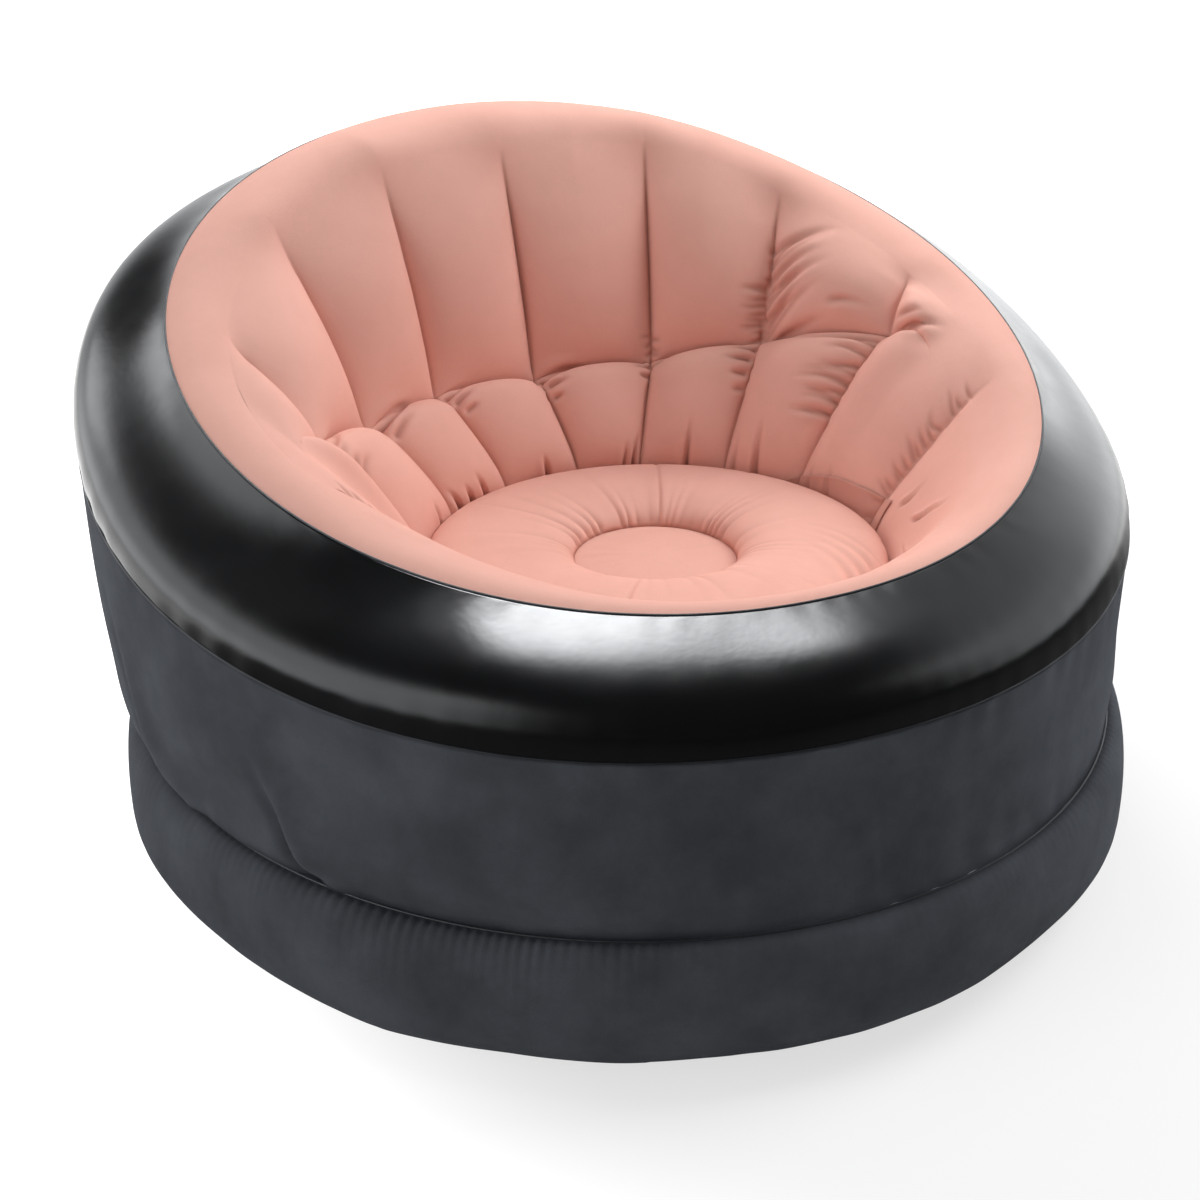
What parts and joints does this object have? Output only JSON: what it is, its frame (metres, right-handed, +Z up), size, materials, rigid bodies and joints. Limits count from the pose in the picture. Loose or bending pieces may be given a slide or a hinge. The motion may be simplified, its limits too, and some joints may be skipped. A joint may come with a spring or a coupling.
{
  "type": "inflatable chair",
  "caption": "Round inflatable lounge chair: raked base and back rings, glossy shoulder, bowl back with radial channels, ring seat and inflation valve.",
  "frame": {"origin": "on the floor, under the middle of the chair's overall length and width", "axes": "+Z up, the chair faces -Y, +X is on the sitter's left"},
  "size_m": [1.114, 1.126, 0.691],
  "materials": {
    "flocked_pink": "matte salmon-pink flock on vinyl sheet",
    "flocked_slate": "matte dark slate flock on vinyl sheet",
    "gloss_black_vinyl": "glossy black vinyl sheet",
    "plain_vinyl": "plain dark vinyl sheet",
    "web_vinyl": "thin inner vinyl sheet",
    "valve_vinyl": "moulded soft vinyl"
  },
  "bodies": {
    "chair": {"base_bottom_sheet": "plain_vinyl", "base_ring_wall": "flocked_slate", "upper_ring_wall": "flocked_slate", "shoulder_band": "gloss_black_vinyl", "bowl_panel": "flocked_pink", "seat_ring_panel": "flocked_pink", "seat_centre_disc": "flocked_pink", "waist_diaphragm": "web_vinyl", "centre_sleeve": "web_vinyl", "seat_sleeve": "web_vinyl", "lumbar_web": "web_vinyl", "valve_socket": "valve_vinyl", "back_web_1": "web_vinyl", "back_web_2": "web_vinyl", "back_web_3": "web_vinyl", "back_web_4": "web_vinyl", "back_web_5": "web_vinyl", "back_web_6": "web_vinyl", "back_web_7": "web_vinyl", "back_web_8": "web_vinyl", "back_web_9": "web_vinyl", "bolster_web_1": "web_vinyl", "bolster_web_2": "web_vinyl", "bolster_web_3": "web_vinyl", "bolster_web_4": "web_vinyl", "bolster_web_5": "web_vinyl", "bolster_web_6": "web_vinyl", "bolster_web_7": "web_vinyl", "bolster_web_8": "web_vinyl", "bolster_web_9": "web_vinyl"},
    "plug": {"deflation_plug": "valve_vinyl", "cap_strap": "valve_vinyl"},
    "cap": {"inflation_cap": "valve_vinyl"},
    "flap": {"check_flap": "web_vinyl"}
  },
  "joints": [
    {"name": "plug_pull", "type": "slide", "parent": "chair", "child": "plug", "axis": [0.2202, 0.9742, -0.0505], "range_m": [0, 0.03]},
    {"name": "cap_hinge", "type": "hinge", "parent": "plug", "child": "cap", "pos_m": [0.1285, 0.55247, 0.35996], "axis": [-0.9754, 0.2204, 0], "range_deg": [0, 150]},
    {"name": "flap_hinge", "type": "hinge", "parent": "plug", "child": "flap", "pos_m": [0.12301, 0.52816, 0.38394], "axis": [-0.9754, 0.2204, 0], "range_deg": [0, 60], "stiffness_Nm_per_rad": 0.0005}
  ]
}
